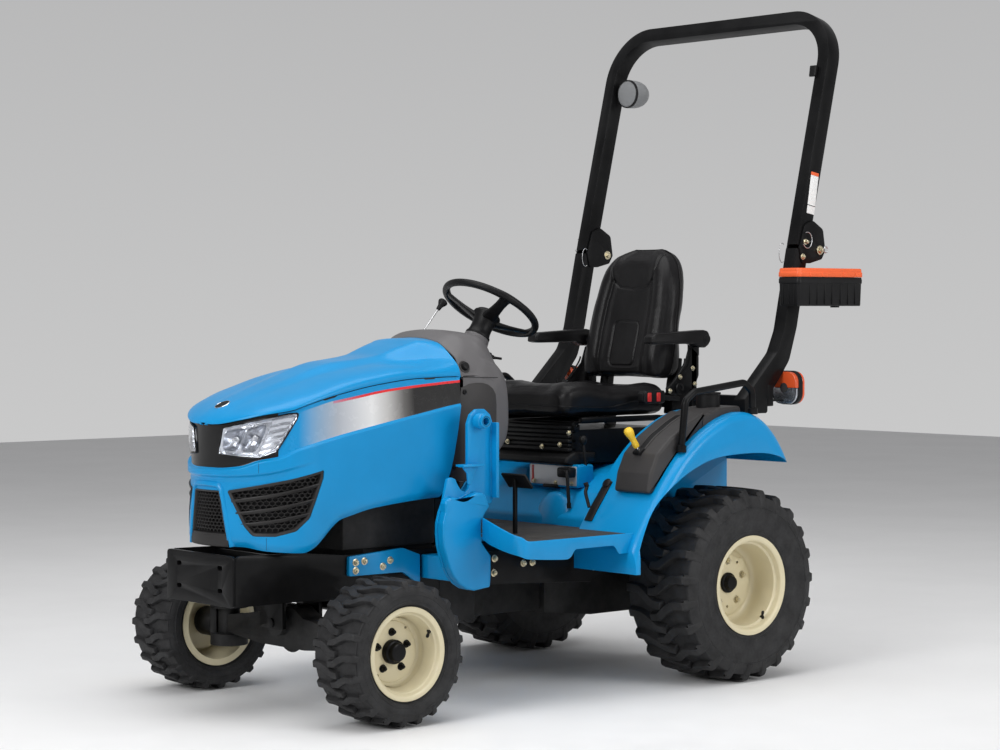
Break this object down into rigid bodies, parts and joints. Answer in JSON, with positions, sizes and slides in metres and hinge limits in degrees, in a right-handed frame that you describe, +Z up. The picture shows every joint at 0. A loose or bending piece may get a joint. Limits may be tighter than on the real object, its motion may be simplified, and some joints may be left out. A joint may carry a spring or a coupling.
{
  "type": "compact tractor",
  "caption": "Compact two-post tractor with tilting hood, steered front axle, foldable roll-over frame, armrest seat, fender handrails, loader brackets, rear tool box and three-point hitch.",
  "frame": {"origin": "on the ground under the middle of the overall length, on the middle plane", "axes": "-Y is the front of the machine, +X its left side, +Z up"},
  "size_m": [1.341, 2.392, 2.3372],
  "materials": {
    "blue": "gloss",
    "black_paint": "gloss",
    "black_cast": "painted satin",
    "cream": "gloss",
    "tyre": "moulded rubber",
    "grey_plastic": "fine texture",
    "dark_plastic": "fine texture",
    "black_plastic": "gloss",
    "lens": "clear moulded lens",
    "vinyl": "sewn vinyl",
    "rubber_mat": "ribbed",
    "tail_lens": "amber and red lens",
    "orange_plastic": "moulded",
    "lamp_grey": "moulded",
    "zinc": "yellow zinc",
    "steel": "machined"
  },
  "bodies": {
    "chassis": {"control_levers": "black_plastic", "dash_cowl": "grey_plastic", "dash_panels": "dark_plastic", "drawbar": "black_paint", "engine": "black_cast", "fender_consoles": "dark_plastic", "fenders": "blue", "firewall": "black_paint", "floor_mats": "rubber_mat", "frame_rails": "black_paint", "front_axle": "black_cast", "front_bumper": "black_paint", "hand_rails": "black_paint", "loader_brackets": "blue", "loader_rails": "blue", "mid_housing": "black_cast", "pedals": "black_paint", "platform": "blue", "platform_supports": "black_paint", "pto_shield": "black_paint", "radiator": "black_plastic", "rear_axle": "black_cast", "rops_hinge_pins": "zinc", "rops_lower": "black_paint", "seat_base": "blue", "seat_pedestal": "black_paint", "steering_column": "black_plastic", "steering_cylinder": "black_paint", "tail_lights": "tail_lens", "toolbox": "black_plastic"},
    "knuckle_left": {"knuckle_left": "black_cast"},
    "knuckle_right": {"knuckle_right": "black_cast"},
    "front_wheel_left": {"front_tyre_left": "tyre", "front_rim_left": "cream"},
    "front_wheel_right": {"front_tyre_right": "tyre", "front_rim_right": "cream"},
    "rear_wheel_left": {"rear_tyre_left": "tyre", "rear_rim_left": "cream"},
    "rear_wheel_right": {"rear_tyre_right": "tyre", "rear_rim_right": "cream"},
    "steering_rod": {"steering_rod": "steel"},
    "steering_wheel": {"steering_wheel": "black_plastic"},
    "hood": {"hood": "blue", "headlights": "lens", "grilles": "dark_plastic"},
    "seat": {"seat_pan": "black_paint", "seat_cushion": "vinyl", "seat_back": "vinyl"},
    "armrest_left": {"armrest_left": "black_plastic"},
    "armrest_right": {"armrest_right": "black_plastic"},
    "rops_upper": {"rops_upper": "black_paint", "work_light": "lamp_grey"},
    "toolbox_lid": {"toolbox_lid": "orange_plastic"},
    "lift_arms": {"lift_arms": "black_paint"},
    "lower_links": {"lower_links": "black_paint"},
    "lift_rods": {"lift_rods": "steel"}
  },
  "joints": [
    {"name": "steer_left", "type": "hinge", "parent": "chassis", "child": "knuckle_left", "pos_m": [0.345, -0.843, 0.24], "axis": [0, 0, 1], "range_deg": [-45, 45]},
    {"name": "steer_right", "type": "hinge", "parent": "chassis", "child": "knuckle_right", "pos_m": [-0.345, -0.843, 0.24], "axis": [0, 0, 1], "range_deg": [-45, 45]},
    {"name": "steering_rod_slide", "type": "slide", "parent": "chassis", "child": "steering_rod", "axis": [1, 0, 0], "range_m": [-0.094, 0.094]},
    {"name": "steering_wheel_turn", "type": "hinge", "parent": "chassis", "child": "steering_wheel", "pos_m": [0, 0.004, 1.268], "axis": [0, 0.5299, 0.848], "range_deg": [-540, 540]},
    {"name": "front_left_spin", "type": "hinge", "parent": "knuckle_left", "child": "front_wheel_left", "pos_m": [0.497, -0.843, 0.224], "axis": [1, 0, 0], "continuous": true},
    {"name": "front_right_spin", "type": "hinge", "parent": "knuckle_right", "child": "front_wheel_right", "pos_m": [-0.497, -0.843, 0.224], "axis": [1, 0, 0], "continuous": true},
    {"name": "rear_left_spin", "type": "hinge", "parent": "chassis", "child": "rear_wheel_left", "pos_m": [0.518, 0.599, 0.329], "axis": [1, 0, 0], "continuous": true},
    {"name": "rear_right_spin", "type": "hinge", "parent": "chassis", "child": "rear_wheel_right", "pos_m": [-0.518, 0.599, 0.329], "axis": [1, 0, 0], "continuous": true},
    {"name": "hood_tilt", "type": "hinge", "parent": "chassis", "child": "hood", "pos_m": [0, -0.36, 1.148], "axis": [-1, 0, 0], "range_deg": [0, 50]},
    {"name": "seat_tilt", "type": "hinge", "parent": "chassis", "child": "seat", "pos_m": [0, 0.223, 0.868], "axis": [1, 0, 0], "range_deg": [0, 30]},
    {"name": "armrest_left_lift", "type": "hinge", "parent": "seat", "child": "armrest_left", "pos_m": [0.278, 0.732, 1.148], "axis": [-1, 0, 0], "range_deg": [0, 80]},
    {"name": "armrest_right_lift", "type": "hinge", "parent": "seat", "child": "armrest_right", "pos_m": [-0.278, 0.732, 1.148], "axis": [-1, 0, 0], "range_deg": [0, 80]},
    {"name": "rops_fold", "type": "hinge", "parent": "chassis", "child": "rops_upper", "pos_m": [0, 1.046, 1.472], "axis": [-1, 0, 0], "range_deg": [0, 110]},
    {"name": "toolbox_lid_open", "type": "hinge", "parent": "chassis", "child": "toolbox_lid", "pos_m": [0.668, 0.999, 1.3765], "axis": [0, 1, 0], "range_deg": [0, 100]},
    {"name": "lift_arms_raise", "type": "hinge", "parent": "chassis", "child": "lift_arms", "pos_m": [0, 0.668, 0.56], "axis": [1, 0, 0], "range_deg": [-15, 35]},
    {"name": "lower_links_raise", "type": "hinge", "parent": "chassis", "child": "lower_links", "pos_m": [0, 0.738, 0.262], "axis": [1, 0, 0], "range_deg": [-12.7, 29.6]},
    {"name": "lift_rods_swing", "type": "hinge", "parent": "lift_arms", "child": "lift_rods", "pos_m": [0, 0.878, 0.6], "axis": [1, 0, 0], "range_deg": [-40, 20]}
  ],
  "couplings": [
    {"joint": "steer_right", "follows": "steer_left", "ratio": 1},
    {"joint": "steering_rod_slide", "follows": "steer_left", "m_per_rad": -0.117},
    {"joint": "steering_wheel_turn", "follows": "steer_left", "ratio": 12},
    {"joint": "lower_links_raise", "follows": "lift_arms_raise", "ratio": 0.843},
    {"joint": "lift_rods_swing", "follows": "lift_arms_raise", "ratio": -0.9}
  ]
}
